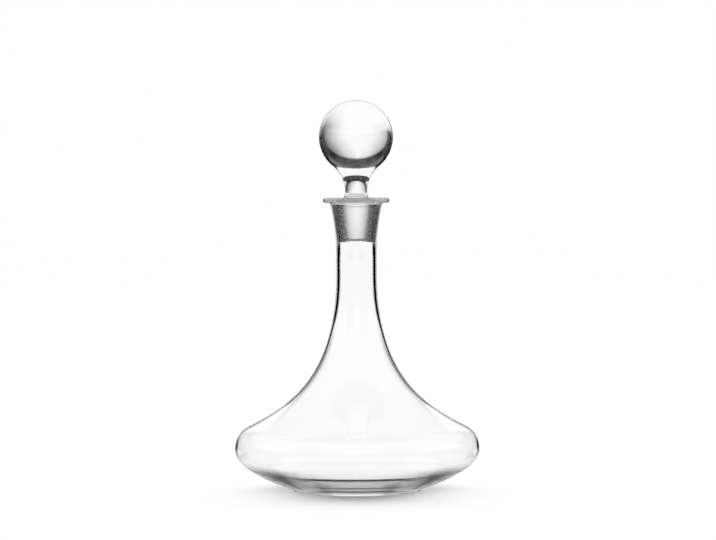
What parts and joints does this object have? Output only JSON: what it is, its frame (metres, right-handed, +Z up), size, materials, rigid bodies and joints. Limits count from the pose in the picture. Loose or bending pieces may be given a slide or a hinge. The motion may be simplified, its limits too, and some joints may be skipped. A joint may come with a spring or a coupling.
{
  "type": "ship's decanter",
  "caption": "Wide low ship's decanter of clear glass with a sweeping neck, a flat lip and a ball stopper whose ground plug seals the mouth.",
  "frame": {"origin": "centre of the foot ring, on the surface that the bottle stands on", "axes": "+Z up along the bottle's axis, through the mouth and the stopper; X and Y are free because the shape is round"},
  "size_m": [0.18, 0.18, 0.288],
  "materials": {
    "bottle_glass": "clear blown glass, fire polished, ground inside the mouth",
    "stopper_glass": "clear solid glass, polished ball, ground plug"
  },
  "bodies": {
    "bottle": {"bottle": "bottle_glass"},
    "stopper": {"stopper": "stopper_glass"}
  },
  "joints": [
    {"name": "stopper_lift", "type": "slide", "parent": "bottle", "child": "stopper", "axis": [0, 0, 1], "range_m": [0, 0.08]}
  ]
}
